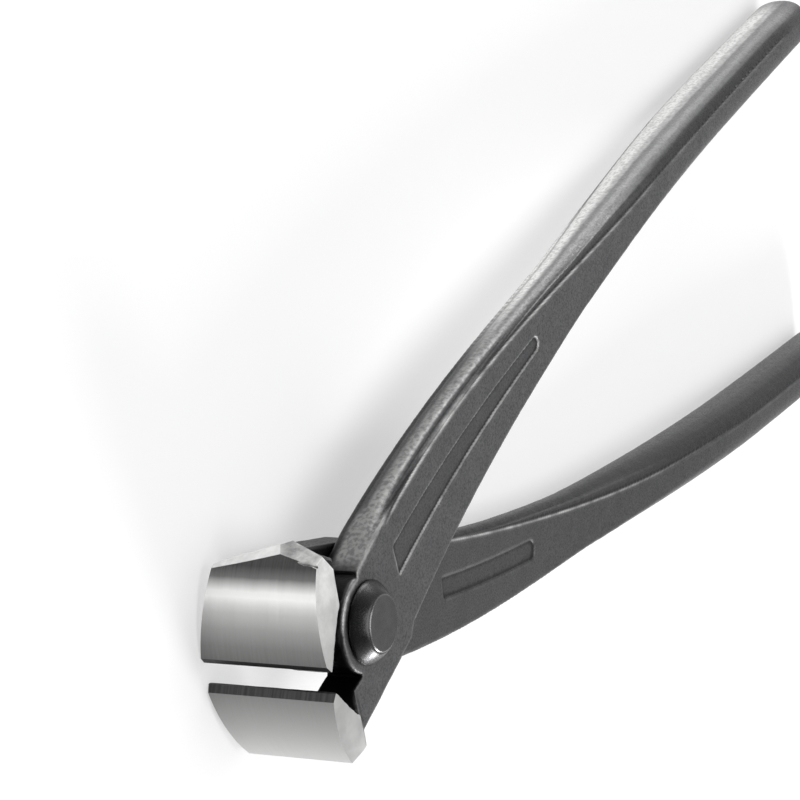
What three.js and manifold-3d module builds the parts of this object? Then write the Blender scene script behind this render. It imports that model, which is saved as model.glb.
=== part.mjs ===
// Concreters nippers: two forged steel levers lapped on one rivet. Each lever is a single forging
// with a handle at one end and half of the cutting head at the other. Both levers are the same
// forging, the rear one turned over about the long axis; only the grinding of their heels differs.
//
// Frame: the pivot axis is +Z, the handles run towards +X, and the front lever's handle lies
// towards +Y. The origin is the centre of the rivet's rear flat. The ends of the jaws reach below it.
// Each lever is drawn with the jaws closed and the lap plane at z = 0, then turned to rest.

import * as THREE from "three";
import { mergeVertices } from "three/addons/utils/BufferGeometryUtils.js";
import Module from "manifold-3d";

const wasm = await Module();
wasm.setup();

// Lap joint and rivet, in millimetres
const LEVER_THICKNESS = 7.2; // one lever at the joint
const LAP_GAP = 0.3; // between the two lap faces
const BOSS_RADIUS = 9.3; // round nose of a lever about the pivot
const BOSS_BEVEL = 0.45;
const SHANK_RADIUS = 4.5;
const BORE_CLEARANCE = 0.2; // bore over the rivet's shank, on the radius
const HEAD_RADIUS = 7.5;
const HEAD_FLAT_RADIUS = 5.2;
const HEAD_HEIGHT = 2.9;
const HEAD_GAP = 0.3; // under each rivet head

// Cutting head: sizes of one jaw, measured from the pivot and from the closed edge
const JAW_WIDTH = 25.2; // along the cutting edge
const JAW_REACH = 22.6; // pivot axis to cutting edge
const JAW_HEIGHT = 15.9; // closed edge to the heel, at the ends of the jaw
// Heel of each jaw: its rise in the middle, and the degrees that it falls away behind the face
const FRONT_HEEL = { crown: 0.1, fall: -3 };
const REAR_HEEL = { crown: 2.7, fall: 8 };
const EDGE_GAP = 0.2; // left between the two edges when closed
const EDGE_BEVEL_OUT = 1; // ground bevel beside the edge, out towards the tip
const EDGE_BEVEL_HIGH = 1.25; // and its height
const FACE_RADIUS = 25.2; // cylinder of the ground outer face
const FACE_UPRIGHT = 2.35; // height at which that face stands square to the long axis
const CLAW_DEPTH = 6.9; // cutting edge to the back of the claw
const CLAW_CURVE = 0.9; // how the inner bevel rounds into the throat
const THROAT_HALF = 8.1; // half height of the throat behind the edges
const THROAT_SAG = 1.6; // how far the throat's floor dips behind the claw
const END_SLOPE = 8; // degrees that each end face leans in
const NECK_STEP = 1.2; // drop from the end face to the neck behind the claw
const NECK_HEIGHT = 16.4; // long axis to the back of the neck beside the nose
const NOSE_CLEARANCE = 1; // far half of a jaw to the other lever's nose
const SHOULDER_REACH = 12.8; // pivot to the shoulder where the neck's back meets the handle
const SHOULDER_HEIGHT = 10.8; // long axis to that shoulder
const SHOULDER_STEP = 1.9; // run of its slope down to the handle

// Handle
const HANDLE_REACH = 276; // pivot axis to the end of the grip
const GRIP_OFFSET = 23.6; // long axis to the middle of the grip when closed
const GRIP_WIDTH = 12.6;
const GRIP_DEPTH = 14.6;
const GRIP_SQUARENESS = 2.35; // 2 is an ellipse, more is squarer
const GRIP_END_ROUND = 6.5; // length of the rounded end
const JOINT_WIDTH = 24; // ridge to ridge beside the rivet
const BOW_START = 5.4; // where the handle's middle line leaves the long axis
const BOW_LENGTH = 72; // how slowly it bows out to the grip
const TAPER_START = 9; // the flat web narrows from here
const TAPER_END = 106; // to here
const TAPER_POWER = 1.2;
const SWELL_START = 80; // the flat web turns into the round grip from here
const SWELL_END = 205; // to here
const BEAD = 0.8; // trimmed forging seam round the web, proud of the ridges
const BEAD_START = 16; // the seam has its full height from here
const COVE = 0.2; // hollow between that seam and each ridge
const RIDGE_ROUND = 0.25;

// Sunk panels on the web
const PANEL_DEPTH = 0.5;
const OUTER_PANEL = { start: 13.5, end: 84.5, startWidth: 6.5, endWidth: 3.6, shift: 2 };
const LAP_PANEL = { start: 41.5, end: 83, startWidth: 4.5, endWidth: 4.5, shift: 0 };

// Pose in which the part is drawn
const REST_ANGLE = 4.9; // degrees that each lever is open

// Facets
const ROUND_STEPS = 48;
const ARC_STEPS = 10;
const DOME_STEPS = 7;
const HANDLE_STEPS = 36;
const END_STEPS = 5;
const PANEL_STEPS = 14;
const OVERSIZE = 60; // reach of a cutting block past the metal

const lapFace = LAP_GAP / 2;
const outerFace = lapFace + LEVER_THICKNESS;
const edgeX = -JAW_REACH;
const faceX = edgeX - EDGE_BEVEL_OUT;
const clawBackX = edgeX + CLAW_DEPTH;
const neckHalf = JAW_WIDTH / 2 - NECK_STEP;
const radians = THREE.MathUtils.degToRad;

// A closed three.js geometry as a solid that can be joined and cut
function solid(geometry) {
  const bare = geometry.clone();
  bare.deleteAttribute("normal");
  bare.deleteAttribute("uv");
  const merged = mergeVertices(bare, 1e-4);
  return new wasm.Manifold(
    new wasm.Mesh({
      numProp: 3,
      vertProperties: new Float32Array(merged.attributes.position.array),
      triVerts: new Uint32Array(merged.index.array),
    }),
  );
}

function geometryOf(body) {
  const mesh = body.getMesh();
  const geometry = new THREE.BufferGeometry();
  geometry.setAttribute("position", new THREE.BufferAttribute(mesh.vertProperties, 3));
  geometry.setIndex(new THREE.BufferAttribute(mesh.triVerts, 1));
  geometry.computeVertexNormals();
  return geometry;
}

// A plan outline raised from one height to another
function raised(shape, low, high) {
  const options = { depth: high - low, bevelEnabled: false, curveSegments: ARC_STEPS };
  return solid(new THREE.ExtrudeGeometry(shape, options).translate(0, 0, low));
}

function disc(radius, low, high) {
  const round = new THREE.CylinderGeometry(radius, radius, high - low, ROUND_STEPS);
  return solid(round.rotateX(Math.PI / 2).translate(0, 0, (low + high) / 2));
}

// A profile of radius and height turned about the pivot axis
function turned(points) {
  return solid(new THREE.LatheGeometry(points, ROUND_STEPS).rotateX(Math.PI / 2));
}

// A block that keeps its own corner of space: everything on the far side of a tilted plane.
// The plane passes through the point, and outward is the side that is cut away.
function beyond(point, outward) {
  const block = new THREE.BoxGeometry(OVERSIZE, OVERSIZE, OVERSIZE).translate(0, 0, OVERSIZE / 2);
  const turn = new THREE.Quaternion().setFromUnitVectors(new THREE.Vector3(0, 0, 1), outward);
  return solid(block.applyQuaternion(turn).translate(point.x, point.y, point.z));
}

// Middle line and half width of the handle, and how far the web has turned into the grip
function middleY(x) {
  return GRIP_OFFSET * (1 - Math.exp((BOW_START - x) / BOW_LENGTH));
}

function halfWidth(x) {
  const left = THREE.MathUtils.clamp((TAPER_END - x) / (TAPER_END - TAPER_START), 0, 1);
  return GRIP_WIDTH / 2 + ((JOINT_WIDTH - GRIP_WIDTH) / 2) * left ** TAPER_POWER;
}

function swell(x) {
  return THREE.MathUtils.smoothstep(x, SWELL_START, SWELL_END);
}

// One quarter of a section, from the seam on the flank up to the flat, as [sideways, upward].
// The web has ridge, hollow and seam; the grip is a squared ellipse of as many points.
function webQuarter(half, rise, seam) {
  const bead = BEAD * seam;
  const cove = COVE * seam;
  return [
    [half + bead, 0],
    [half + 0.92 * bead, 0.2 * rise],
    [half + 0.6 * bead, 0.42 * rise],
    [half + 0.15 * bead, 0.6 * rise],
    [half - cove, 0.74 * rise],
    [half - cove, 0.84 * rise],
    [half, 0.93 * rise],
    [half - RIDGE_ROUND, rise],
    [half / 2, rise],
  ];
}

function gripQuarter(half, rise) {
  const angles = [0, 12, 24, 36, 48, 58, 67, 76, 84].map(radians);
  const power = 2 / GRIP_SQUARENESS;
  return angles.map((a) => [half * Math.cos(a) ** power, rise * Math.sin(a) ** power]);
}

function sectionAt(x, shrink) {
  const grip = swell(x);
  const depth = THREE.MathUtils.lerp(LEVER_THICKNESS, GRIP_DEPTH, grip);
  const rise = (depth / 2) * shrink;
  const half = halfWidth(x) * shrink;
  const web = webQuarter(half, rise, THREE.MathUtils.smoothstep(x, 0, BEAD_START));
  const round = gripQuarter(half, rise);
  const quarter = web.map(([side, up], i) => [
    THREE.MathUtils.lerp(side, round[i][0], grip),
    THREE.MathUtils.lerp(up, round[i][1], grip),
  ]);
  const upper = quarter.concat(quarter.map(([side, up]) => [-side, up]).reverse());
  const lower = upper.slice(1, -1).map(([side, up]) => [-side, -up]);
  const midZ = outerFace - depth / 2;
  return upper.concat(lower).map(([side, up]) => new THREE.Vector3(x, middleY(x) + side, midZ + up));
}

// A skin over a row of sections, closed by a fan at each end
function lofted(sections) {
  const count = sections[0].length;
  const corners = sections.flat();
  const first = corners.length;
  for (const section of [sections[0], sections.at(-1)]) {
    const middle = new THREE.Vector3();
    section.forEach((corner) => middle.addScaledVector(corner, 1 / count));
    corners.push(middle);
  }
  const faces = [];
  for (let j = 0; j < count; j += 1) {
    const next = (j + 1) % count;
    for (let i = 0; i + 1 < sections.length; i += 1) {
      const here = i * count;
      const ahead = here + count;
      faces.push(here + j, here + next, ahead + j, here + next, ahead + next, ahead + j);
    }
    const last = (sections.length - 1) * count;
    faces.push(first, next, j, first + 1, last + j, last + next);
  }
  const geometry = new THREE.BufferGeometry().setFromPoints(corners);
  return solid(geometry.setIndex(faces));
}

// Handle with its web: from the pivot out to the rounded end of the grip
function handle() {
  const capStart = HANDLE_REACH - GRIP_END_ROUND;
  const sections = [];
  for (let i = 0; i <= HANDLE_STEPS; i += 1) {
    sections.push(sectionAt(capStart * (i / HANDLE_STEPS) ** 1.15, 1));
  }
  for (let i = 1; i < END_STEPS; i += 1) {
    const angle = (Math.PI / 2) * (i / END_STEPS);
    sections.push(sectionAt(capStart + GRIP_END_ROUND * Math.sin(angle), Math.cos(angle)));
  }
  return lofted(sections);
}

// Round nose of the lever about the pivot, with its outer edge broken
function boss() {
  const slim = BOSS_RADIUS - BOSS_BEVEL;
  const profile = [
    new THREE.Vector2(0, lapFace),
    new THREE.Vector2(BOSS_RADIUS, lapFace),
    new THREE.Vector2(BOSS_RADIUS, outerFace - BOSS_BEVEL),
    new THREE.Vector2(slim, outerFace),
    new THREE.Vector2(0, outerFace),
  ];
  return turned(profile);
}

// Where the ground face meets the heel: its place, and how far it leans there
function heelAt(height) {
  const along = (height - FACE_UPRIGHT) / FACE_RADIUS;
  const x = faceX + FACE_RADIUS * (1 - Math.sqrt(1 - along ** 2));
  return { x, y: -height, faceLean: Math.asin(along) };
}

// Side view of one jaw: edge, outer bevel, ground face, heel, neck, shoulder, throat, inner bevel
function jawOutline(height, fall) {
  const centre = new THREE.Vector2(faceX + FACE_RADIUS, -FACE_UPRIGHT);
  const angleAt = (y) => Math.PI + Math.asin((centre.y - y) / FACE_RADIUS);
  const heel = heelAt(height);
  const heelFall = (clawBackX - heel.x) * Math.tan(fall);
  const shoulderX = SHOULDER_REACH + SHOULDER_STEP;
  const shape = new THREE.Shape();
  shape.moveTo(edgeX, -EDGE_GAP / 2);
  shape.absarc(centre.x, centre.y, FACE_RADIUS, angleAt(-EDGE_BEVEL_HIGH), angleAt(-height), false);
  shape.lineTo(clawBackX, heel.y + heelFall);
  shape.lineTo(-BOSS_RADIUS, -NECK_HEIGHT);
  shape.lineTo(SHOULDER_REACH, -SHOULDER_HEIGHT);
  shape.lineTo(shoulderX, middleY(shoulderX) - halfWidth(shoulderX));
  shape.lineTo(shoulderX, -SHANK_RADIUS);
  shape.lineTo(-BOSS_RADIUS, -THROAT_HALF);
  shape.quadraticCurveTo(clawBackX, -THROAT_HALF - THROAT_SAG, clawBackX - CLAW_CURVE, -THROAT_HALF);
  shape.quadraticCurveTo(
    clawBackX - 2 * CLAW_CURVE,
    CLAW_CURVE - THROAT_HALF,
    edgeX,
    -EDGE_GAP / 2,
  );
  return shape;
}

// Space beside the neck on one side: from the back of the claw in to the lever's own thickness
function cheek(side) {
  const plan = [
    [clawBackX, neckHalf],
    [-BOSS_RADIUS, outerFace],
    [OVERSIZE, outerFace],
    [OVERSIZE, OVERSIZE],
    [clawBackX, OVERSIZE],
  ];
  const shape = new THREE.Shape(plan.map(([x, z]) => new THREE.Vector2(x, side * z)));
  const options = { depth: OVERSIZE, bevelEnabled: false };
  return solid(new THREE.ExtrudeGeometry(shape, options).rotateX(Math.PI / 2));
}

// The jaw is as wide as the cutting edge at the claw and as thick as its lever at the root.
// Its heel rises to a crown in the middle, and its far half stops short of the other lever's nose.
function jaw({ crown, fall: fallDegrees }) {
  const height = JAW_HEIGHT + crown;
  const end = radians(END_SLOPE);
  const fall = radians(fallDegrees);
  const heel = heelAt(height);
  const drop = Math.cos(fall) + Math.tan(heel.faceLean) * Math.sin(fall);
  const tilt = (crown / (JAW_WIDTH / 2)) * drop;
  let body = raised(jawOutline(height, fall), -JAW_WIDTH / 2, JAW_WIDTH / 2);
  for (const side of [-1, 1]) {
    const corner = new THREE.Vector3(0, 0, (side * JAW_WIDTH) / 2);
    body = body.subtract(beyond(corner, new THREE.Vector3(0, -Math.sin(end), side * Math.cos(end))));
    const slope = new THREE.Vector3(Math.sin(fall), -Math.cos(fall), side * tilt);
    body = body.subtract(beyond(new THREE.Vector3(heel.x, heel.y, 0), slope.normalize()));
    body = body.subtract(cheek(side));
  }
  const noseSpace = new THREE.BoxGeometry(OVERSIZE, OVERSIZE, OVERSIZE);
  noseSpace.translate(OVERSIZE / 2 - BOSS_RADIUS - NOSE_CLEARANCE, 0, lapFace - OVERSIZE / 2);
  return body.subtract(solid(noseSpace));
}

// Outline of a sunk panel along the handle's middle line, with a round far end
function panelOutline({ start, end, startWidth, endWidth, shift }) {
  const halfEnd = endWidth / 2;
  const middle = [];
  for (let i = 0; i <= PANEL_STEPS; i += 1) {
    const along = i / PANEL_STEPS;
    const x = THREE.MathUtils.lerp(start, end - halfEnd, along);
    const y = middleY(x) + shift * (1 - along);
    middle.push([x, y, THREE.MathUtils.lerp(startWidth, endWidth, along) / 2]);
  }
  const shape = new THREE.Shape();
  middle.forEach(([x, y, half], i) => (i ? shape.lineTo(x, y - half) : shape.moveTo(x, y - half)));
  const [endX, endY] = middle.at(-1);
  shape.absarc(endX, endY, halfEnd, -Math.PI / 2, Math.PI / 2, false);
  middle.reverse().forEach(([x, y, half]) => shape.lineTo(x, y + half));
  return shape;
}

// One lever, closed, with its lap face up against the lap plane
function lever(heel) {
  const whole = handle().add(boss()).add(jaw(heel));
  const deep = 2 * PANEL_DEPTH;
  const outerBlock = raised(panelOutline(OUTER_PANEL), outerFace - deep, outerFace + deep);
  const lapBlock = raised(panelOutline(LAP_PANEL), outerFace - GRIP_DEPTH, lapFace + deep);
  const outerSink = outerBlock.subtract(whole.translate([0, 0, -PANEL_DEPTH]));
  const lapSink = lapBlock.subtract(whole.translate([0, 0, PANEL_DEPTH]));
  const bore = disc(SHANK_RADIUS + BORE_CLEARANCE, -OVERSIZE / 2, OVERSIZE / 2);
  return geometryOf(whole.subtract(outerSink).subtract(lapSink).subtract(bore));
}

// Rivet: a shank with a domed, flat-topped head at each end
function rivet() {
  const headBase = outerFace + HEAD_GAP;
  const dome = [];
  for (let i = 0; i <= DOME_STEPS; i += 1) {
    const angle = (Math.PI / 2) * (i / DOME_STEPS);
    const radius = HEAD_FLAT_RADIUS + (HEAD_RADIUS - HEAD_FLAT_RADIUS) * Math.cos(angle);
    dome.push([radius, headBase + HEAD_HEIGHT * Math.sin(angle)]);
  }
  const upper = [[SHANK_RADIUS, headBase], ...dome, [0, headBase + HEAD_HEIGHT]];
  const lower = upper.map(([radius, z]) => [radius, -z]).reverse();
  return geometryOf(turned(lower.concat(upper).map(([radius, z]) => new THREE.Vector2(radius, z))));
}

const phosphatedSteel = { color: 0x4b4c4e, roughness: 0.5, metalness: 0.8 };
const rivetSteel = { color: 0x3f4042, roughness: 0.4, metalness: 0.8 };

function piece(name, geometry, finish) {
  const mesh = new THREE.Mesh(geometry, new THREE.MeshStandardMaterial(finish));
  mesh.name = name;
  return mesh;
}

const frontLever = piece("front_lever", lever(FRONT_HEEL), phosphatedSteel);
frontLever.rotation.z = radians(REST_ANGLE);
const rearLever = piece("rear_lever", lever(REAR_HEEL), phosphatedSteel);
rearLever.rotation.set(Math.PI, 0, radians(REST_ANGLE));
const pivotRivet = piece("pivot_rivet", rivet(), rivetSteel);

// The lap plane stands above the rivet's rear flat by one lever and one rivet head
const nippers = new THREE.Group();
nippers.add(frontLever, rearLever, pivotRivet);
nippers.position.z = outerFace + HEAD_GAP + HEAD_HEIGHT;
const part = new THREE.Group();
part.add(nippers);

export default part;
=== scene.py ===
# %% [markdown]
# Concreters nippers: two forged levers on one rivet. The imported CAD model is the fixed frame, and
# this lesson dresses it the way the tool is made: forge each lever, grind its jaw, close the rivet.
# Everything is in metres, in the frame of the CAD model: the pivot axis is Z, the handles run to +X.

import math
from types import SimpleNamespace

import bpy
import numpy as np
from mathutils import Matrix, Vector


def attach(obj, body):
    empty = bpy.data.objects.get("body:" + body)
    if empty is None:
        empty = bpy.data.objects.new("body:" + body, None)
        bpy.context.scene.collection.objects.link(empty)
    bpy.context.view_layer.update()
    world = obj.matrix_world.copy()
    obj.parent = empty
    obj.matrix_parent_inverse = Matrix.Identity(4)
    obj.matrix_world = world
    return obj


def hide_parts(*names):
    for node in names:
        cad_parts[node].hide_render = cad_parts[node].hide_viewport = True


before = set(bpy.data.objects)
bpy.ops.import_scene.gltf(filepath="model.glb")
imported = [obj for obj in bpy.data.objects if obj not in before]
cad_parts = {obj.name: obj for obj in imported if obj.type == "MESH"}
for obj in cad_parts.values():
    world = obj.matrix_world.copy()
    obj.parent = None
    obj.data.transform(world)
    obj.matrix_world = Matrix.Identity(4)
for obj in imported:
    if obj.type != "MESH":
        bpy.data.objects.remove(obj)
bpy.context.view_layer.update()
MM = 0.001

# %% [markdown]
# The grinding wheels need to know where the jaw is. These are the sizes of the real tool, with the
# jaws closed and the lap plane of the two levers at height zero. A lever is then put in its place by
# one matrix: turned open by the rest angle, and for the rear lever turned over about the long axis.

# %% Sizes of the tool
LAP_HEIGHT = 10.55 * MM
REST_ANGLE = math.radians(4.9)
LEVER_FACE = 7.35 * MM  # lap plane to the outer face
LAP_FACE = 0.15 * MM  # lap plane to the lap face
JAW_WIDTH = 25.2 * MM
EDGE_X = -22.6 * MM
FACE_X = -23.6 * MM
FACE_RADIUS = 25.2 * MM
FACE_UPRIGHT = 2.35 * MM
JAW_RISE = 19.08 * MM  # cutting edge to the top of the heel
EDGE_GAP = 0.2 * MM
BEVEL_HIGH = 1.25 * MM
END_SLOPE = math.radians(8)


def lever_pose(turned_over):
    flip = Matrix.Rotation(math.pi, 4, "X") if turned_over else Matrix.Identity(4)
    return Matrix.Translation((0, 0, LAP_HEIGHT)) @ flip @ Matrix.Rotation(REST_ANGLE, 4, "Z")


POSES = {"front_lever": lever_pose(False), "rear_lever": lever_pose(True)}
print("rest opening in degrees:", round(math.degrees(2 * REST_ANGLE), 2))

# %% [markdown]
# A few habits are written once: select one object alone, apply a modifier, and press an object's
# place into its mesh so that the object itself sits at the origin, as the CAD nodes do.


# %% Workshop habits
def select_only(obj):
    if bpy.context.object and bpy.context.object.mode != "OBJECT":
        bpy.ops.object.mode_set(mode="OBJECT")
    bpy.ops.object.select_all(action="DESELECT")
    obj.select_set(True)
    bpy.context.view_layer.objects.active = obj


def apply_modifier(obj, kind, **settings):
    modifier = obj.modifiers.new(kind.title(), kind)
    for name, value in settings.items():
        setattr(modifier, name, value)
    select_only(obj)
    bpy.ops.object.modifier_apply(modifier=modifier.name)


def press_place(obj, matrix=None):
    if matrix is not None:
        obj.matrix_world = matrix @ obj.matrix_world
    select_only(obj)
    bpy.ops.object.transform_apply(location=True, rotation=True, scale=True)


def count(obj):
    return sum(len(face.vertices) - 2 for face in obj.data.polygons)


def points_of(obj):
    flat = np.empty(len(obj.data.vertices) * 3, np.float32)
    obj.data.vertices.foreach_get("co", flat)
    return flat.reshape(-1, 3).astype(float)


def normals_of(obj):
    flat = np.empty(len(obj.data.vertices) * 3, np.float32)
    obj.data.vertex_normals.foreach_get("vector", flat)
    return flat.reshape(-1, 3).astype(float)


def in_closed_lever(points, pose):
    back = np.array(pose.inverted())
    return points @ back[:3, :3].T + back[:3, 3]


def smoothstep(low, high, value):
    t = np.clip((value - low) / (high - low), 0, 1)
    return t * t * (3 - 2 * t)


def fade_mm(low, high, value):
    return smoothstep(low * MM, high * MM, value)


def within(x, span):
    start, full, fading, end = span
    return fade_mm(start, full, x) * fade_mm(end, fading, x)


# %% [markdown]
# The finishes are built from shader nodes. These helpers add a node, wire two sockets, and scale, mix
# or ramp a value. A colour is laid over another where a mask says so.


# %% Node helpers
def new_group(name, inputs, outputs):
    group = bpy.data.node_groups.new(name, "ShaderNodeTree")
    for socket, kind, value in inputs:
        made = group.interface.new_socket(socket, in_out="INPUT", socket_type=kind)
        made.default_value = value
    for socket, kind in outputs:
        group.interface.new_socket(socket, in_out="OUTPUT", socket_type=kind)
    return group, group.nodes.new("NodeGroupInput"), group.nodes.new("NodeGroupOutput")


def node(tree, kind, **values):
    made = tree.nodes.new(kind)
    for name, value in values.items():
        if hasattr(made, name):
            setattr(made, name, value)
        else:
            made.inputs[name.replace("_", " ")].default_value = value
    return made


def wire(tree, source, target):
    tree.links.new(source, target)


def math_node(tree, operation, first, second):
    made = tree.nodes.new("ShaderNodeMath")
    made.operation = operation
    for socket, value in zip(made.inputs, (first, second)):
        if isinstance(value, (int, float)):
            socket.default_value = value
        else:
            tree.links.new(value, socket)
    return made.outputs[0]


def scaled(tree, value, factor, offset=0.0):
    made = tree.nodes.new("ShaderNodeMath")
    made.operation = "MULTIPLY_ADD"
    tree.links.new(value, made.inputs[0])
    made.inputs[1].default_value = factor
    made.inputs[2].default_value = offset
    return made.outputs[0]


def mix_colour(tree, factor, first, second):
    made = tree.nodes.new("ShaderNodeMix")
    made.data_type = "RGBA"
    for socket, value in ((made.inputs[0], factor), (made.inputs[6], first), (made.inputs[7], second)):
        if isinstance(value, (int, float, tuple)):
            socket.default_value = value
        else:
            tree.links.new(value, socket)
    return made.outputs[2]


def laid_over(tree, under, mask, share, colour):
    return mix_colour(tree, scaled(tree, mask, share), under, colour)


def speckled(tree, mask, noise, share, least):
    return math_node(tree, "MULTIPLY", mask, scaled(tree, noise, share, least))


def ramp(tree, value, low, high):
    made = tree.nodes.new("ShaderNodeMapRange")
    made.interpolation_type = "SMOOTHSTEP"
    made.inputs["From Min"].default_value = low
    made.inputs["From Max"].default_value = high
    tree.links.new(value, made.inputs["Value"])
    return made.outputs["Result"]


def attribute(tree, name):
    made = tree.nodes.new("ShaderNodeAttribute")
    made.attribute_name = name
    return made.outputs["Fac"]


# %% [markdown]
# Shared finishes come first, as node groups. Every steel here has a grain: on the forged skin it is
# the grit of the phosphate coat, on ground faces it is the scratches of the wheel. One group makes
# grit from three sizes of noise, another draws scratches that run round the jaw.

# %% Grit and scratches
grit, grit_in, grit_out = new_group(
    "Phosphate grit",
    [
        ("Fine Scale", "NodeSocketFloat", 2600.0),
        ("Speckle Scale", "NodeSocketFloat", 1300.0),
        ("Broad Scale", "NodeSocketFloat", 260.0),
    ],
    [(name, "NodeSocketFloat") for name in ("Fine", "Broad", "Speckle", "Height")],
)
grit_place = node(grit, "ShaderNodeTexCoord")
fine = node(grit, "ShaderNodeTexNoise", Detail=3.0, Roughness=0.65)
broad = node(grit, "ShaderNodeTexNoise", Detail=4.0, Roughness=0.55)
mottle = node(grit, "ShaderNodeTexNoise", Detail=2.0, Roughness=0.6)
for noise, scale in ((fine, "Fine Scale"), (broad, "Broad Scale"), (mottle, "Speckle Scale")):
    wire(grit, grit_place.outputs["Object"], noise.inputs["Vector"])
    wire(grit, grit_in.outputs[scale], noise.inputs["Scale"])
fine_grit = ramp(grit, fine.outputs["Fac"], 0.38, 0.68)
broad_grit = ramp(grit, broad.outputs["Fac"], 0.3, 0.7)
wire(grit, fine_grit, grit_out.inputs["Fine"])
wire(grit, broad_grit, grit_out.inputs["Broad"])
wire(grit, ramp(grit, mottle.outputs["Fac"], 0.36, 0.6), grit_out.inputs["Speckle"])
half_fine = math_node(grit, "MULTIPLY", fine_grit, 0.5)
wire(grit, math_node(grit, "ADD", half_fine, broad_grit), grit_out.inputs["Height"])

scratches, scratches_in, scratches_out = new_group(
    "Wheel scratches",
    [("Across", "NodeSocketFloat", 1500.0), ("Along", "NodeSocketFloat", 45.0)],
    [("Fine", "NodeSocketFloat"), ("Broad", "NodeSocketFloat")],
)
scratch_place = node(scratches, "ShaderNodeTexCoord")
for name, share in (("Fine", 1.0), ("Broad", 0.16)):
    stretch = node(scratches, "ShaderNodeCombineXYZ")
    along = math_node(scratches, "MULTIPLY", scratches_in.outputs["Along"], share)
    wire(scratches, along, stretch.inputs[0])
    wire(scratches, along, stretch.inputs[1])
    across = math_node(scratches, "MULTIPLY", scratches_in.outputs["Across"], share)
    wire(scratches, across, stretch.inputs[2])
    stretched = node(scratches, "ShaderNodeVectorMath", operation="MULTIPLY")
    wire(scratches, scratch_place.outputs["Object"], stretched.inputs[0])
    wire(scratches, stretch.outputs[0], stretched.inputs[1])
    lines = node(scratches, "ShaderNodeTexNoise", Scale=1.0, Detail=3.0, Roughness=0.6)
    wire(scratches, stretched.outputs[0], lines.inputs["Vector"])
    wire(scratches, ramp(scratches, lines.outputs["Fac"], 0.32, 0.68), scratches_out.inputs[name])
print("node groups:", [group.name for group in bpy.data.node_groups])

# %% [markdown]
# The levers leave the forge dark: the phosphate coat is a soft charcoal grey that is worn bright
# along the ridges and speckled on the flanks, where the flash was trimmed. Painted shade darkens the
# hollows, the neck, the lower flanks and the whole rear lever, and painted highlights lie on the ridge
# lines, the upper flanks and the grip. The masks for that are attributes that are measured on the
# finished mesh further down.


# %% Phosphated steel
def new_material(name, metallic):
    material = bpy.data.materials.new(name)
    material.use_nodes = True
    tree = material.node_tree
    shader = tree.nodes["Principled BSDF"]
    shader.inputs["Metallic"].default_value = metallic
    return material, tree, shader


def place_group(tree, group, **values):
    made = tree.nodes.new("ShaderNodeGroup")
    made.node_tree = group
    for name, value in values.items():
        made.inputs[name.replace("_", " ")].default_value = value
    return made


def bump(tree, height, shader, distance, strength):
    made = node(tree, "ShaderNodeBump", Distance=distance, Strength=strength)
    wire(tree, height, made.inputs["Height"])
    wire(tree, made.outputs["Normal"], shader.inputs["Normal"])


COAT_DEEP, COAT_PALE = (0.106, 0.106, 0.109, 1), (0.125, 0.125, 0.128, 1)
PITS = (0.055, 0.055, 0.057, 1)
# painted shade: darkens the whole rear lever, and the lower half of each flank
SHADED_COAT = (0.04, 0.04, 0.042, 1)
# partly the trimmed flash, partly a painted highlight on the upper flank
FLASH_AND_HIGHLIGHT = (0.29, 0.29, 0.285, 1)
# painted highlight along the grip
GRIP_HIGHLIGHT = (0.86, 0.86, 0.85, 1)
ROUGH_SCALE = (0.68, 0.68, 0.67, 1)
PANEL_FLOOR = (0.05, 0.05, 0.052, 1)
# painted shade, in low places of the skin and on the rivet's dome
PAINTED_SHADE = (0.012, 0.012, 0.013, 1)
HOLLOW_SHADE = (0.03, 0.03, 0.032, 1)
# painted shadow, in the neck and on the upper jaw's edge
DEEP_SHADE = (0.008, 0.008, 0.009, 1)
# wear on the levers' proud edges; on the rivet's rim partly wear, partly a painted highlight
RUBBED_AND_LIT_EDGE = (0.5, 0.5, 0.49, 1)
# partly bare worn steel, partly a painted highlight on ridges, boss rim and panel walls
BARE_RIDGE_AND_HIGHLIGHT = (0.85, 0.85, 0.84, 1)

phosphated, tree, shader = new_material("phosphated_steel", 0.9)
skin = place_group(tree, grit)
fine, broad, speckle = (skin.outputs[name] for name in ("Fine", "Broad", "Speckle"))
charcoal = mix_colour(tree, broad, COAT_DEEP, COAT_PALE)
pitted = laid_over(tree, charcoal, fine, 0.85, PITS)
# painted shade: the whole rear lever is made darker than the front one
rear_shaded = laid_over(tree, pitted, attribute(tree, "upper_jaw"), 0.36, SHADED_COAT)
# painted shade on the lower half of each flank
shaded = laid_over(tree, rear_shaded, attribute(tree, "low_flank"), 0.85, SHADED_COAT)
# the trimmed flash, with a painted highlight on the flank's upper half
flash_lit = speckled(tree, attribute(tree, "flash_highlight"), speckle, 0.65, 0.3)
with_flash_lit = mix_colour(tree, flash_lit, shaded, FLASH_AND_HIGHLIGHT)
# painted highlight along the grip's flank
grip_sheen = speckled(tree, attribute(tree, "grip_highlight"), speckle, 0.35, 0.65)
with_grip_highlight = mix_colour(tree, grip_sheen, with_flash_lit, GRIP_HIGHLIGHT)
scale = speckled(tree, attribute(tree, "scale_lump"), broad, 0.7, 0.3)
lumped = mix_colour(tree, scale, with_grip_highlight, ROUGH_SCALE)
sunk = laid_over(tree, lumped, attribute(tree, "sunk"), 0.4, PANEL_FLOOR)
# painted shade where the skin lies low
low = ramp(tree, attribute(tree, "relief"), -0.15, -0.8)
low_shaded = laid_over(tree, sunk, low, 0.7, PAINTED_SHADE)
hollowed = laid_over(tree, low_shaded, attribute(tree, "cove"), 0.75, HOLLOW_SHADE)
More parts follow.
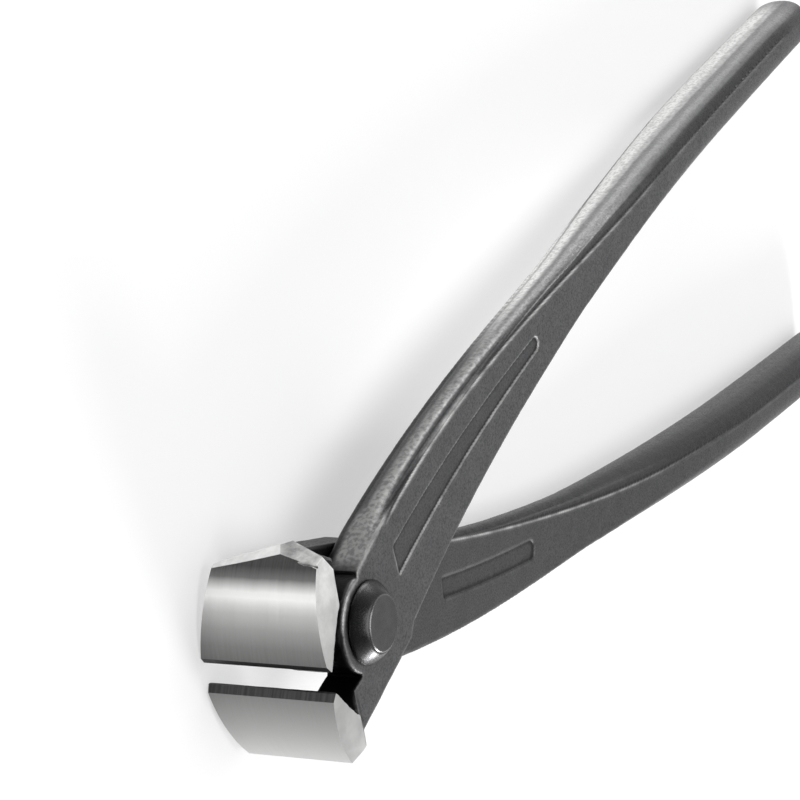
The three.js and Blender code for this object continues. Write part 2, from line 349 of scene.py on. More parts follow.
# painted shadow about the neck and on the shoulder behind the heel
neck_shaded = laid_over(tree, hollowed, attribute(tree, "neck_shadow"), 0.97, DEEP_SHADE)
patchy = scaled(tree, broad, 0.6, 0.4)
worn = math_node(tree, "MULTIPLY", ramp(tree, attribute(tree, "relief"), 0.4, 1.0), patchy)
rubbed = laid_over(tree, neck_shaded, worn, 0.14, RUBBED_AND_LIT_EDGE)
# bare ridge lines with a painted highlight, and painted highlights on the boss rim and panel walls
line = math_node(tree, "MULTIPLY", attribute(tree, "ridge"), patchy)
ridge_lit = laid_over(tree, rubbed, line, 0.95, BARE_RIDGE_AND_HIGHLIGHT)
wire(tree, ridge_lit, shader.inputs["Base Color"])
wire(tree, scaled(tree, fine, 0.14, 0.4), shader.inputs["Roughness"])
bump(tree, skin.outputs["Height"], shader, 0.00006, 0.5)
print("phosphated steel:", len(tree.nodes), "nodes")

# %% [markdown]
# The jaws are ground bright. The wheel leaves scratches square to the cutting edge. The greys up each
# jaw's face are a painted reflection: a dark band high on the upper jaw by the heel, the brightest band
# below it, and a lower jaw that lightens towards the heel. A list of stops gives each band its grey, from
# the cutting edge at 0 up to the heel at 1. The ends of the jaws are cloudier, and the edges are black.


# %% Ground steel
def shade_ramp(tree, value, stops):
    made = tree.nodes.new("ShaderNodeValToRGB")
    wire(tree, value, made.inputs["Fac"])
    steps = made.color_ramp.elements
    for place, grey in stops[1:-1]:
        steps.new(place)
    for step, (place, grey) in zip(steps, stops):
        step.position, step.color = place, (grey, grey, grey * 0.99, 1)
    return made.outputs["Color"]


def by_jaw(tree, value, lower, upper):
    pair = [shade_ramp(tree, value, stops) for stops in (lower, upper)]
    return mix_colour(tree, attribute(tree, "upper_jaw"), *pair)


# painted reflection: the upper jaw's face, a dark band by the heel and a bright band below it
UPPER_JAW_REFLECTION = [(0.0, 0.12), (0.2, 0.2), (0.36, 0.33), (0.5, 0.52), (0.56, 0.67)]
UPPER_JAW_REFLECTION += [(0.63, 0.94), (0.68, 0.9), (0.79, 0.17), (0.88, 0.06)]
# painted reflection: the lower jaw's face lightens towards the heel
LOWER_JAW_REFLECTION = [(0.0, 0.2), (0.42, 0.39), (0.83, 0.58)]
UPPER_ENDS = [(0.0, 0.55), (0.42, 0.72), (0.83, 0.93)]
LOWER_ENDS = [(0.0, 0.5), (0.42, 0.55), (0.83, 0.66)]
POLISHED = (0.9, 0.9, 0.89, 1)
FLECKS = (0.35, 0.35, 0.345, 1)
CLOUDS = (0.4, 0.4, 0.395, 1)
TEMPER_DEEP, TEMPER_PALE = (0.045, 0.045, 0.046, 1), (0.085, 0.085, 0.085, 1)

ground, tree, shader = new_material("ground_steel", 1.0)
wheel = place_group(tree, scratches, Across=2400.0, Along=60.0)
uneven = scaled(tree, wheel.outputs["Broad"], 0.008, -0.004)
ragged = math_node(tree, "ADD", attribute(tree, "rise"), uneven)
# painted reflection: each ground jaw face is banded by its height up the jaw
reflection_banded = by_jaw(tree, ragged, LOWER_JAW_REFLECTION, UPPER_JAW_REFLECTION)
lined = laid_over(tree, reflection_banded, wheel.outputs["Fine"], 0.035, POLISHED)
wire(tree, lined, shader.inputs["Base Color"])
wire(tree, scaled(tree, wheel.outputs["Fine"], 0.12, 0.32), shader.inputs["Roughness"])
bump(tree, wheel.outputs["Fine"], shader, 0.00003, 0.3)

facet, tree, shader = new_material("ground_facet", 1.0)
wheel = place_group(tree, scratches, Across=900.0, Along=160.0)
pale = by_jaw(tree, attribute(tree, "rise"), LOWER_ENDS, UPPER_ENDS)
cloud = place_group(tree, grit, Broad_Scale=500.0)
flecked = laid_over(tree, pale, wheel.outputs["Broad"], 0.3, FLECKS)
clouded = laid_over(tree, flecked, cloud.outputs["Broad"], 0.3, CLOUDS)
wire(tree, clouded, shader.inputs["Base Color"])
wire(tree, scaled(tree, wheel.outputs["Fine"], 0.15, 0.34), shader.inputs["Roughness"])
bump(tree, wheel.outputs["Fine"], shader, 0.00004, 0.4)

blackened, tree, shader = new_material("hardened_edge", 0.9)
wheel = place_group(tree, scratches)
tempered = mix_colour(tree, wheel.outputs["Fine"], TEMPER_DEEP, TEMPER_PALE)
# painted shade: the upper jaw's edge is darkened further
edge_shaded = laid_over(tree, tempered, attribute(tree, "upper_jaw"), 0.8, DEEP_SHADE)
wire(tree, edge_shaded, shader.inputs["Base Color"])
wire(tree, scaled(tree, wheel.outputs["Fine"], 0.1, 0.4), shader.inputs["Roughness"])
print("finishes:", [material.name for material in (phosphated, ground, facet, blackened)])

# %% [markdown]
# Forging. A copy of the CAD lever is merged into one skin, remeshed to small even cells and smoothed,
# which rounds every edge as a die does. The jaw keeps an allowance: it is fattened a little, so that
# the wheels have something to take off. On the rear lever a rough block of stock stands over the heel.

# %% Forge the levers
CELL = 0.27 * MM
ALLOWANCE = 0.4 * MM
HEEL_BLOCK = {"x": (-18.0, -14.4), "y": (-27.7, -13.0), "z": (-10.6, 12.3)}  # mm
HEEL_DROP = 8.2 * MM  # how much lower the block is at its right end
JAW_ROOT = (-13.5, -17)  # mm, where the allowance fades in
MARK_SIZE, MARK_DEPTH = 3.0 * MM, 0.1 * MM
LUMP_SIZE, LUMP_DEPTH = 2.2 * MM, 0.7 * MM
LUMP_POINT = (-17.7, -18.6, -2.7)  # mm, on the slope left unground beside the heel
LUMP_OUTWARD = (-0.372, -0.918, -0.134)
WEIGHT_STEPS = 40


def heel_block(pose):
    bpy.ops.object.select_all(action="DESELECT")
    spans = [HEEL_BLOCK[axis] for axis in "xyz"]
    middle = [sum(span) / 2 * MM for span in spans]
    size = [(span[1] - span[0]) * MM for span in spans]
    bpy.ops.mesh.primitive_cube_add(size=1, location=middle, scale=size)
    block = bpy.context.object
    press_place(block)
    select_only(block)
    bpy.ops.object.mode_set(mode="EDIT")
    bpy.ops.mesh.select_all(action="DESELECT")
    bpy.ops.object.mode_set(mode="OBJECT")
    for corner in block.data.vertices:
        corner.select = corner.co.z < 0 and corner.co.y < middle[1]
    bpy.ops.object.mode_set(mode="EDIT")
    bpy.ops.transform.translate(value=(0, HEEL_DROP, 0))
    bpy.ops.mesh.select_all(action="SELECT")
    bpy.ops.mesh.subdivide(number_cuts=3)
    bpy.ops.object.mode_set(mode="OBJECT")
    press_place(block, pose)
    return block


def lump_weight(closed):
    x, y, z = closed.T
    return fade_mm(-15.4, -16.6, y) * fade_mm(-12, -14, x) * fade_mm(0.5, -2, z)


def weigh(obj, name, weight):
    group = obj.vertex_groups.new(name=name)
    steps = np.round(weight * WEIGHT_STEPS).astype(int)
    for step in range(1, WEIGHT_STEPS + 1):
        chosen = np.flatnonzero(steps == step)
        if len(chosen):
            group.add(chosen.tolist(), step / WEIGHT_STEPS, "REPLACE")


def hammer(obj, size, depth, **settings):
    marks = bpy.data.textures.new("forge_marks", "CLOUDS")
    marks.noise_scale = size
    apply_modifier(obj, "DISPLACE", texture=marks, strength=depth, mid_level=0.5, **settings)


def forge(name):
    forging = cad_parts[name].copy()
    forging.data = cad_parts[name].data.copy()
    forging.name = name + "_forged"
    for key in list(forging.keys()):
        del forging[key]
    forging.parent = None
    bpy.context.scene.collection.objects.link(forging)
    forging.matrix_world = Matrix.Identity(4)
    apply_modifier(forging, "WELD", merge_threshold=0.001 * MM)
    if name == "rear_lever":
        block = heel_block(POSES[name])
        select_only(forging)
        block.select_set(True)
        bpy.ops.object.join()
    forging.data.materials.clear()
    forging.data.materials.append(phosphated)
    apply_modifier(forging, "REMESH", mode="VOXEL", voxel_size=CELL)
    apply_modifier(forging, "SMOOTH", factor=0.5, iterations=4)
    closed = in_closed_lever(points_of(forging), POSES[name])
    weigh(forging, "jaw", fade_mm(*JAW_ROOT, closed[:, 0]))
    apply_modifier(forging, "DISPLACE", strength=ALLOWANCE, mid_level=0.0, vertex_group="jaw")
    hammer(forging, MARK_SIZE, MARK_DEPTH)
    if name == "rear_lever":
        weigh(forging, "lump", lump_weight(in_closed_lever(points_of(forging), POSES[name])))
        hammer(forging, LUMP_SIZE, LUMP_DEPTH, vertex_group="lump")
    print(forging.name, count(forging), "triangles")
    return forging


forgings = {name: forge(name) for name in ("front_lever", "rear_lever")}

# %% [markdown]
# Along each lever a ridge bounds the flat face. On the web it runs at the edge; on the grip it draws in
# towards the middle, so that the flat narrows to a strip. A hollow runs beside the ridge, steep at the
# ridge and fading out into the round flank: on the outer face along the outer side, and on the lap face
# along the inner side. Its weight is worked out from the handle's middle line.

# %% Press the hollows beside the ridges
GRIP_OFFSET = 23.6 * MM
BOW_START = 5.4 * MM
BOW_LENGTH = 72 * MM
LEVER_THICKNESS = 7.2 * MM
GRIP_DEPTH = 14.6 * MM
HOLLOW_DEPTH = 0.4 * MM
HOLLOW_STEEP = 0.25 * MM  # width of the steep side, at the ridge
HOLLOW_SPAN = (11, 18, 245, 268)  # mm from the pivot: start, full, fading, end


def middle_line(x):
    return GRIP_OFFSET * (1 - np.exp((BOW_START - x) / BOW_LENGTH))


def section_place(closed):
    x, y, z = closed.T
    depth = LEVER_THICKNESS + (GRIP_DEPTH - LEVER_THICKNESS) * fade_mm(80, 205, x)
    sideways = y - middle_line(x)
    upward = (z - LEVER_FACE + depth / 2) / (depth / 2)
    ridge_at = 2.0 * MM + 8.4 * MM * (1 - fade_mm(10, 150, x))
    return x, sideways, upward, np.abs(sideways) - ridge_at


def hollow_weight(closed):
    x, sideways, upward, beyond = section_place(closed)
    width = 0.9 * MM + 1.7 * MM * fade_mm(60, 150, x)
    steep = np.exp(-((beyond / HOLLOW_STEEP) ** 2))
    gentle = np.exp(-((np.maximum(beyond - HOLLOW_STEEP, 0) / width) ** 2))
    weight = np.where(beyond < HOLLOW_STEEP, steep * (beyond > -MM), gentle)
    near_face = smoothstep(0.35, 0.7, upward * np.sign(sideways))
    return weight * near_face * within(x, HOLLOW_SPAN)


def press_hollows(forging, pose):
    weight = hollow_weight(in_closed_lever(points_of(forging), pose))
    weigh(forging, "hollow", weight)
    apply_modifier(forging, "DISPLACE", strength=-HOLLOW_DEPTH, mid_level=0.0, vertex_group="hollow")
    apply_modifier(forging, "SMOOTH", factor=0.5, iterations=2)
    print(forging.name, "hollow pressed on", int((weight > 0.02).sum()), "points")


for name, forging in forgings.items():
    press_hollows(forging, POSES[name])

# %% [markdown]
# Grinding. Each wheel is a block whose one face is the surface that it leaves behind. The block is
# placed on the closed lever, carried into the lever's pose, and taken away from the forging with a
# boolean that hands its own material to the new face, so every ground face is crisp and bright.


# %% Grinding wheels
def take_away(obj, cutter):
    settings = {"operation": "DIFFERENCE", "solver": "MANIFOLD", "material_mode": "TRANSFER"}
    apply_modifier(obj, "BOOLEAN", object=cutter, **settings)
    bpy.data.objects.remove(cutter)


def flat_wheel(name, point, outward, material, size=(40, 60, 40)):
    bpy.ops.object.select_all(action="DESELECT")
    outward = Vector(outward).normalized()
    aside = Vector((1, 0, 0)) if abs(outward.x) < 0.9 else Vector((0, 1, 0))
    across = outward.cross(aside).normalized()
    lie = Matrix((across.cross(outward), across, outward)).transposed().to_4x4()
    bpy.ops.mesh.primitive_cube_add(size=1, location=(0, 0, 0.5))
    wheel = bpy.context.object
    wheel.name = name
    wheel.data.materials.append(material)
    press_place(wheel)
    grow = Matrix.Diagonal((*(side * MM for side in size), 1))
    press_place(wheel, Matrix.Translation(Vector(point) * MM) @ lie @ grow)
    return wheel


def round_wheel(name, material):
    bpy.ops.object.select_all(action="DESELECT")
    block_size = (14 * MM, 40 * MM, 60 * MM)
    bpy.ops.mesh.primitive_cube_add(size=1, location=(FACE_X, -16 * MM, 0), scale=block_size)
    wheel = bpy.context.object
    wheel.name = name
    wheel.data.materials.append(material)
    press_place(wheel)
    centre = (FACE_X + FACE_RADIUS, -FACE_UPRIGHT, 0)
    bpy.ops.mesh.primitive_cylinder_add(vertices=360, radius=FACE_RADIUS, depth=80 * MM, location=centre)
    core = bpy.context.object
    core.data.materials.append(material)
    press_place(core)
    take_away(wheel, core)
    return wheel


HEEL_FACETS = {  # a point and the way the wheel leaves it facing, then the wheel, in mm
    "front_lever": [((-19.6, -16.0, 0.0), (-0.05, -1.0, 0.0), (20, 60, 20), facet)],
    "rear_lever": [
        ((-17.5, -18.7, -2.7), (-0.47, -0.878, 0.0985), (30, 60, 20), facet),
        ((-15.7, -16.0, 11.5), (0.1, -0.965, 0.261), (7, 60, 20), facet),
        (LUMP_POINT, LUMP_OUTWARD, (30, 60, 20), phosphated),
        ((-15.6, -18.75, -7.5), (0.709, -0.59, -0.392), (8, 14, 8), phosphated),
    ],
}


def wheels_for(name):
    made = [round_wheel("face_wheel", ground)]
    for side in (-1, 1):
        end = (0, -math.sin(END_SLOPE), side * math.cos(END_SLOPE))
        made.append(flat_wheel("end_wheel", (-20, 0, side * JAW_WIDTH / 2 / MM), end, facet))
    for point, outward, size, left_as in HEEL_FACETS[name]:
        made.append(flat_wheel("heel_wheel", point, outward, left_as, size))
    edge = (EDGE_X / MM, -EDGE_GAP / 2 / MM, 0)
    bevel = (EDGE_GAP / 2 - BEVEL_HIGH, EDGE_X - FACE_X, 0)
    made.append(flat_wheel("bevel_wheel", edge, bevel, blackened, (12, 60, 12)))
    made.append(flat_wheel("edge_wheel", edge, (0, 1, 0), blackened, (14, 60, 12)))
    return made


def grind(forging, name):
    for wheel in wheels_for(name):
        press_place(wheel, POSES[name])
        take_away(forging, wheel)
    print(forging.name, "ground:", count(forging), "triangles,", [m.name for m in forging.data.materials])


for name, forging in forgings.items():
    grind(forging, name)

# %% [markdown]
# Now the masks. Relief compares each point with a smoothed copy of the mesh: a point that stands
# proud is a ridge, one that lies low is a hollow. The others follow the place of a point on the closed
# lever, in millimetres from the pivot, and the way the skin faces there. Each mask becomes an
# attribute of the mesh, so it stays on the steel when the tool moves.

# %% Measure the skin
RELIEF_ROUNDS = 12
RELIEF_HEIGHT = 0.12 * MM
PANEL_DEPTH = 0.5 * MM
WEB_SPAN = (12, 13.5, 84, 86)  # mm from the pivot: start, full, fading, end


def smoothed(points, edges, rounds):
    degree = np.zeros(len(points))
    np.add.at(degree, edges.ravel(), 1)
    for _ in range(rounds):
        total = np.zeros_like(points)
        np.add.at(total, edges[:, 0], points[edges[:, 1]])
        np.add.at(total, edges[:, 1], points[edges[:, 0]])
        points = total / np.maximum(degree, 1)[:, None]
    return points


def measure_skin(forging, name):
    points, normals = points_of(forging), normals_of(forging)
    edges = np.empty(len(forging.data.edges) * 2, np.int32)
    forging.data.edges.foreach_get("vertices", edges)
    level_skin = smoothed(points, edges.reshape(-1, 2), RELIEF_ROUNDS)
    relief = ((points - level_skin) * normals).sum(1) / RELIEF_HEIGHT
    closed = in_closed_lever(points, POSES[name])
    x, sideways, upward, beyond = section_place(closed)
    z = closed[:, 2]
    tilt = (normals @ np.array(POSES[name].to_3x3()))[:, 2]
    below_face = np.where(z > LEVER_FACE / 2, LEVER_FACE - z, z - LAP_FACE)
    print(forging.name, "relief from", round(relief.min(), 2), "to", round(relief.max(), 2))
    return SimpleNamespace(
        relief=relief, closed=closed, x=x, y=closed[:, 1], z=z, tilt=tilt, level=np.abs(tilt),
        sideways=sideways, upward=upward, beyond=beyond,
        depth=below_face / PANEL_DEPTH,
        panel=within(x, WEB_SPAN) * fade_mm(-1.6, -2.4, beyond),
        flank=smoothstep(0.85, 0.6, np.abs(tilt)) * fade_mm(2, 12, x),
        outer=fade_mm(-1, 1, sideways),
        grip=fade_mm(58, 94, x),
    )


# %% [markdown]
# Bright places: the bead of trimmed flash along the outer flank and at its root by the boss, with a
# painted highlight on the flank's upper half; a painted highlight along the grip; the line along each
# ridge, bare steel with a painted highlight; painted highlights on the rim of the boss and the walls of
# the panels; and the rough slope beside the upper heel.

# %% Bright places
ROOT_SPAN = (-2.0, 3.5, 12, 16)
BOSS_SPAN = (-10, -7, 12, 16)
LINE_SPAN = (11, 18, 80, 200)
LINE_INSET, LINE_WIDTH = 0.14 * MM, 0.18 * MM
RIM_SHARE, WALL_SHARE = 0.4, 0.5
GRIP_END = (276, 255)


def bead_root(skin):
    beside_boss = within(skin.x, ROOT_SPAN) * fade_mm(7.5, 9, skin.y)
    return beside_boss * smoothstep(0.6, 0.35, skin.level) * fade_mm(1, 2.5, skin.z)


# the flash bead, lit by a painted highlight on the flank's upper half
def flash_bead_highlight(skin):
    bead = smoothstep(-0.3, 0.0, skin.upward) * smoothstep(0.75, 0.5, skin.upward)
    return np.maximum(bead_root(skin), skin.flank * skin.outer * bead * (1 - skin.grip))


# painted highlight on the grip's flank, on skin that faces one way
def grip_highlight_mask(skin):
    sheen_band = 0.13 * smoothstep(0.85, 0.7, skin.tilt) + 0.87 * smoothstep(0.22, -0.1, skin.tilt)
    sheen_band = sheen_band * smoothstep(-0.62, -0.4, skin.tilt)
    return skin.outer * skin.grip * sheen_band * fade_mm(*GRIP_END, skin.x)


# bare ridge lines with a painted highlight, and painted highlights on the boss rim and panel walls
def ridge_lines_and_highlights(skin):
    near_face = smoothstep(0.6, 0.9, skin.upward * np.sign(skin.sideways))
    line = np.exp(-(((skin.beyond + LINE_INSET) / LINE_WIDTH) ** 2)) * near_face * within(skin.x, LINE_SPAN)
    rim = within(skin.x, BOSS_SPAN) * fade_mm(2, 4, skin.y)
    rim = rim * smoothstep(0.25, 0.7, skin.relief) * smoothstep(0.3, 0.6, skin.tilt)
    wall = skin.panel * smoothstep(0.97, 0.9, skin.tilt) * smoothstep(0.3, 0.5, skin.tilt)
    wall = wall * smoothstep(0.25, 0.5, skin.depth)
    return np.maximum(line, np.maximum(RIM_SHARE * rim, WALL_SHARE * wall))


def rough_slope(skin, name):
    off_slope = np.abs((skin.closed - np.array(LUMP_POINT) * MM) @ np.array(LUMP_OUTWARD))
    return lump_weight(skin.closed) * fade_mm(0.4, 0.15, off_slope) * (name == "rear_lever")


# %% [markdown]
# Dark places, all painted shade: a painted shadow about the neck and on the shoulder behind the heel, and
# the lower half of each flank.
# All the masks are then kept on the mesh, and the mesh is thinned to a handy size.

# %% Dark places
NECK_SPAN = (-18, -15.6, 4, 10)
SHOULDER_SPAN = (-18, -15.6, 12, 18)
MOST_TRIANGLES = 185000


# painted shadow in the neck and on the shoulder behind the heel
def neck_shadow_mask(skin):
    upright = smoothstep(0.95, 0.8, skin.level)
    by_lap = fade_mm(1.5, 0.7, np.abs(skin.z))
    shoulder = within(skin.x, SHOULDER_SPAN) * fade_mm(-7, -9.5, skin.y) * np.maximum(upright, by_lap)
    return np.maximum(within(skin.x, NECK_SPAN) * upright, shoulder)


def keep_mask(obj, name, values):
    layer = obj.data.attributes.new(name, "FLOAT", "POINT")
    layer.data.foreach_set("value", values.astype(np.float32))


def keep_masks(forging, name):
    skin = measure_skin(forging, name)
    lump = rough_slope(skin, name)
    low = smoothstep(-0.1, -0.4, skin.upward)
    masks = {
        "relief": np.clip(skin.relief, -1, 1) * fade_mm(-17, -14, skin.x),
        "sunk": np.clip(skin.depth, 0, 1) * smoothstep(0.6, 0.9, skin.level) * skin.panel,
        # trimmed flash with a painted highlight
        "flash_highlight": flash_bead_highlight(skin),
        # painted highlight along the grip
        "grip_highlight": grip_highlight_mask(skin),
        # painted shade on the lower half of each flank
        "low_flank": skin.flank * low * (1 - skin.grip * skin.outer),
        "scale_lump": lump,
        # painted shadow about the neck
        "neck_shadow": neck_shadow_mask(skin) * (1 - lump) * (1 - bead_root(skin)),
        "cove": hollow_weight(skin.closed),
        # ridge lines and painted highlights
        "ridge": ridge_lines_and_highlights(skin),
        "upper_jaw": np.full(len(skin.x), float(name == "rear_lever")),
        "rise": np.clip(-skin.y / JAW_RISE, 0, 1),
    }
    for mask, values in masks.items():
        keep_mask(forging, mask, values)


for name, forging in forgings.items():
    keep_masks(forging, name)
    apply_modifier(forging, "DECIMATE", ratio=min(1.0, MOST_TRIANGLES / count(forging)))
    print(forging.name, count(forging), "triangles kept")
    select_only(forging)
    bpy.ops.object.shade_smooth_by_angle(angle=math.radians(32))
    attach(forging, "front" if name == "front_lever" else "rear")
    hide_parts(name)

# %% [markdown]
# The rivet is turned from a bar and its heads are closed over in a press. A cylinder is the start: its
# top is inset ring by ring into a dome, and the flat on top is inset and raised a hair, as the press
# leaves it, which gives the fine rim that catches the light. One head is made and copied, and the
# shank joins the two.

# %% Rivet
HEAD_RADIUS = 7.5 * MM
HEAD_HEIGHT = 2.9 * MM
HEAD_FLAT_RADIUS = 5.2 * MM
HEAD_BASE = LEVER_FACE + 0.3 * MM
SHANK_RADIUS = 4.5 * MM
FLAT_RISE = 0.24 * MM
DOME_RISES = (0.5, 0.47, 0.44, 0.4, 0.36, 0.3)  # mm, ring by ring up the dome
RIM_INSETS = ((0.05, 0), (0.12, 0.5), (0.2, 0.5), (0.15, 0))  # mm inwards, share of the flat's rise
RIM_INSET, RIM_WIDTH = 0.22 * MM, 0.1 * MM

bpy.ops.object.select_all(action="DESELECT")
rim_height = HEAD_HEIGHT - FLAT_RISE - sum(DOME_RISES) * MM
middle = LAP_HEIGHT + HEAD_BASE + rim_height / 2
place = (0, 0, middle)
bpy.ops.mesh.primitive_cylinder_add(vertices=128, radius=HEAD_RADIUS, depth=rim_height, location=place)
rivet = bpy.context.object
rivet.name = "rivet"
press_place(rivet)


def edit_faces(obj, wanted):
    select_only(obj)
    bpy.ops.object.mode_set(mode="EDIT")
    bpy.ops.mesh.select_mode(type="FACE")
    bpy.ops.mesh.select_all(action="DESELECT")
    bpy.ops.object.mode_set(mode="OBJECT")
    for face in obj.data.polygons:
        face.select = wanted(face)
    bpy.ops.object.mode_set(mode="EDIT")


edit_faces(rivet, lambda face: face.normal.z > 0.9)
run = (HEAD_RADIUS - HEAD_FLAT_RADIUS) / len(DOME_RISES)
for rise in DOME_RISES:
    bpy.ops.mesh.inset(thickness=run, depth=rise * MM)
for inwards, share in RIM_INSETS:
    bpy.ops.mesh.inset(thickness=inwards * MM, depth=share * FLAT_RISE)
edit_faces(rivet, lambda face: face.normal.z < -0.9)
bpy.ops.mesh.inset(thickness=HEAD_RADIUS - SHANK_RADIUS, depth=0)
bpy.ops.mesh.extrude_region_move(TRANSFORM_OT_translate={"value": (0, 0, -HEAD_BASE)})
bpy.ops.mesh.delete(type="FACE")
bpy.ops.object.mode_set(mode="OBJECT")
bpy.ops.object.duplicate()
rear_head = bpy.context.object
turn_over = Matrix.Translation((0, 0, 2 * LAP_HEIGHT)) @ Matrix.Rotation(math.pi, 4, "X")
press_place(rear_head, turn_over)
select_only(rivet)
rear_head.select_set(True)
bpy.ops.object.join()
apply_modifier(rivet, "WELD", merge_threshold=0.005 * MM)
select_only(rivet)
bpy.ops.object.mode_set(mode="EDIT")
bpy.ops.mesh.select_all(action="SELECT")
bpy.ops.mesh.normals_make_consistent(inside=False)
bpy.ops.object.mode_set(mode="OBJECT")
bpy.ops.object.shade_smooth_by_angle(angle=math.radians(40))
print("rivet:", count(rivet), "triangles")

# %% [markdown]
# The rivet's steel is oiled and dark. The dome is painted darker than the flat as painted shade, and
# the rim between them is partly rubbed, partly a painted highlight, so both are masks by the distance from
# the axis.

# %% Rivet steel
FLAT_DEEP, FLAT_PALE = (0.07, 0.07, 0.072, 1), (0.088, 0.088, 0.09, 1)

radius = np.hypot(*points_of(rivet)[:, :2].T)
# painted shade on the dome, and a painted highlight on the rim, partly rubbed
keep_mask(rivet, "dome", (radius > HEAD_FLAT_RADIUS - RIM_WIDTH).astype(float))
keep_mask(rivet, "rim", np.exp(-(((radius - HEAD_FLAT_RADIUS + RIM_INSET) / RIM_WIDTH) ** 2)))

rivet_steel, tree, shader = new_material("rivet_steel", 0.9)
skin = place_group(tree, grit, Fine_Scale=3200.0, Broad_Scale=420.0)
oiled = mix_colour(tree, skin.outputs["Broad"], FLAT_DEEP, FLAT_PALE)
# painted shade: the dome is darker than the flat
dome_shaded = laid_over(tree, oiled, attribute(tree, "dome"), 0.5, PAINTED_SHADE)
# partly rubbed, partly a painted highlight on the rim
rim_lit = laid_over(tree, dome_shaded, attribute(tree, "rim"), 0.28, RUBBED_AND_LIT_EDGE)
wire(tree, rim_lit, shader.inputs["Base Color"])
wire(tree, scaled(tree, skin.outputs["Fine"], 0.08, 0.26), shader.inputs["Roughness"])
bump(tree, skin.outputs["Height"], shader, 0.00003, 0.3)
rivet.data.materials.clear()
rivet.data.materials.append(rivet_steel)
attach(rivet, "rear")
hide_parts("pivot_rivet")
print("rivet steel:", len(tree.nodes), "nodes, rim at", round((HEAD_FLAT_RADIUS - RIM_INSET) / MM, 2), "mm")

# %% [markdown]
# The tool lies on a white table: its jaws touch at one end and its grips at the other, so the table
# is tilted by about a degree to meet both. Seen by the camera it is half plain white and half lit, so
# it looks like paper and still keeps the shadow.

# %% Table
PAPER_WHITE = 0.5  # share of the table that looks plain white; the rest keeps the shadow
TABLE_SIZE = 12
JAW_LOW, GRIP_LOW = -2.1 * MM, 3.15 * MM  # heights of the two places that touch the table
TOUCH_AT, TOUCH_APART = -20 * MM, 285 * MM

bpy.ops.object.select_all(action="DESELECT")
table_tilt = -math.atan2(GRIP_LOW - JAW_LOW, TOUCH_APART)
place, turn = (TOUCH_AT, 0, JAW_LOW), (0, table_tilt, 0)
bpy.ops.mesh.primitive_plane_add(size=TABLE_SIZE, location=place, rotation=turn)
table = bpy.context.object
table.name = "table"
white, tree, shader = new_material("white_table", 0.0)
shader.inputs["Base Color"].default_value = (0.95, 0.95, 0.95, 1)
shader.inputs["Roughness"].default_value = 0.9
shader.inputs["Specular IOR Level"].default_value = 0.0
sight = tree.nodes.new("ShaderNodeLightPath")
seen = math_node(tree, "MAXIMUM", sight.outputs["Is Camera Ray"], sight.outputs["Is Glossy Ray"])
seen = math_node(tree, "MAXIMUM", seen, sight.outputs["Is Transmission Ray"])
paper = node(tree, "ShaderNodeEmission", Strength=1.0)
blend = tree.nodes.new("ShaderNodeMixShader")
wire(tree, scaled(tree, seen, PAPER_WHITE), blend.inputs["Fac"])
wire(tree, shader.outputs[0], blend.inputs[1])
wire(tree, paper.outputs[0], blend.inputs[2])
wire(tree, blend.outputs[0], tree.nodes["Material Output"].inputs["Surface"])
table.data.materials.append(white)
print("table tilted by", round(math.degrees(table_tilt), 2), "degrees")

# %% [markdown]
# The light is that of a small studio: a broad soft lamp low on the left behind the handles, a small
# bright one on the right, a wide one overhead, and a room that is dim on the camera's side.

# %% Light
DIM_SIDE = Vector((-0.8, 0.3, 0.45)).normalized()
ROOM_BRIGHT, ROOM_DIM = (0.75, 0.75, 0.75, 1), (0.12, 0.12, 0.12, 1)
LAMPS_AIM = Vector((0.05, 0, 0.01))

world = bpy.data.worlds.new("studio")
bpy.context.scene.world = world
world.use_nodes = True
tree = world.node_tree
room = tree.nodes["Background"]
sight = node(tree, "ShaderNodeTexCoord")
facing = node(tree, "ShaderNodeVectorMath", operation="DOT_PRODUCT")
wire(tree, sight.outputs["Generated"], facing.inputs[0])
facing.inputs[1].default_value = DIM_SIDE
dim_side = ramp(tree, facing.outputs["Value"], -0.2, 0.75)
wire(tree, mix_colour(tree, dim_side, ROOM_BRIGHT, ROOM_DIM), room.inputs["Color"])


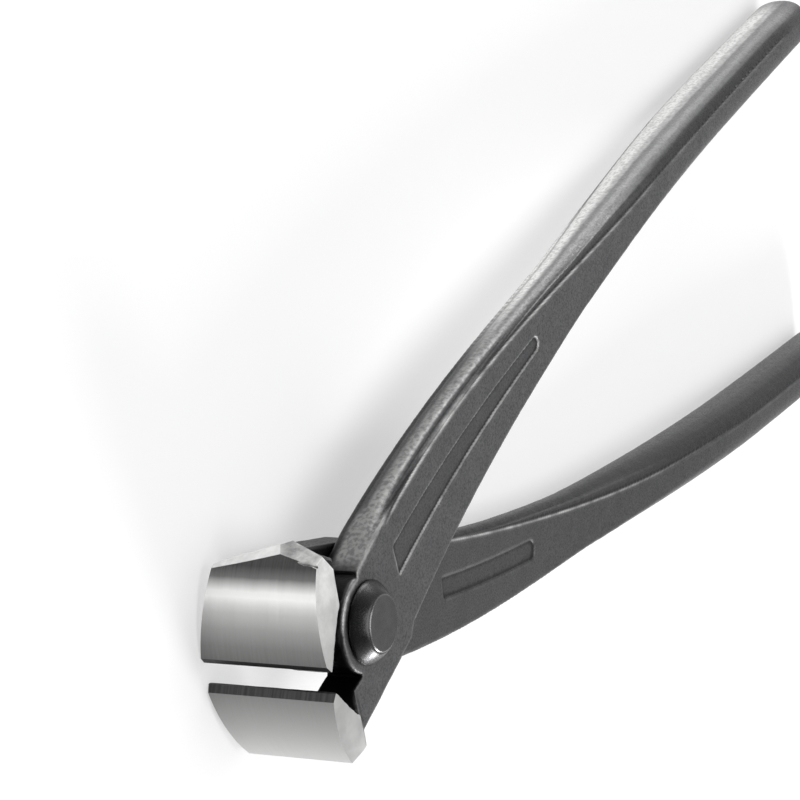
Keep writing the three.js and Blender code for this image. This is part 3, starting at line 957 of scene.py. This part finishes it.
def soft_lamp(name, azimuth, elevation, size, radiance):
    lamp = bpy.data.lights.new(name, "AREA")
    lamp.shape = "RECTANGLE"
    lamp.size, lamp.size_y = size
    lamp.energy = radiance * math.pi * size[0] * size[1]
    made = bpy.data.objects.new(name, lamp)
    bpy.context.scene.collection.objects.link(made)
    azimuth, elevation = math.radians(azimuth), math.radians(elevation)
    flat = math.cos(elevation)
    toward = Vector((flat * math.cos(azimuth), flat * math.sin(azimuth), math.sin(elevation)))
    made.location = LAMPS_AIM + toward
    made.rotation_euler = toward.to_track_quat("Z", "Y").to_euler()
    made.visible_camera = False
    print(name, "lit with", round(lamp.energy, 2), "W")


soft_lamp("left_lamp", 52, 11, (0.6, 0.36), 5.0)
soft_lamp("right_lamp", -78, 19, (0.28, 0.28), 34.0)
soft_lamp("top_lamp", 160, 86, (0.8, 0.8), 3.0)

# %% [markdown]
# The camera stands where the photographer stood, with a long lens. It looks along the handles from
# beyond the jaws and is rolled on its side, because the tool was laid flat.

# %% Camera
CAMERA_PLACE = Vector((-312.7, 163.0, 214.7)) * MM
CAMERA_HEADING = math.radians(-21.2)
CAMERA_DIP = math.radians(28.59)
CAMERA_ROLL = math.radians(90.56)
LENS, SENSOR_WIDTH = 103.5, 36

camera = bpy.data.objects.new("camera", bpy.data.cameras.new("camera"))
bpy.context.scene.collection.objects.link(camera)
camera.data.lens = LENS
camera.data.sensor_width = SENSOR_WIDTH
camera.data.clip_start, camera.data.clip_end = 0.01, 50
flat = math.cos(CAMERA_DIP)
ahead = Vector((math.cos(CAMERA_HEADING) * flat, math.sin(CAMERA_HEADING) * flat, -math.sin(CAMERA_DIP)))
upright = ahead.to_track_quat("-Z", "Y").to_matrix().to_4x4()
camera.matrix_world = Matrix.Translation(CAMERA_PLACE) @ upright @ Matrix.Rotation(CAMERA_ROLL, 4, "Z")
bpy.context.scene.camera = camera
bpy.context.scene.view_settings.view_transform = "Standard"
print("camera right:", [round(v, 4) for v in camera.matrix_world.col[0][:3]])

# %% Finish
bpy.context.view_layer.update()
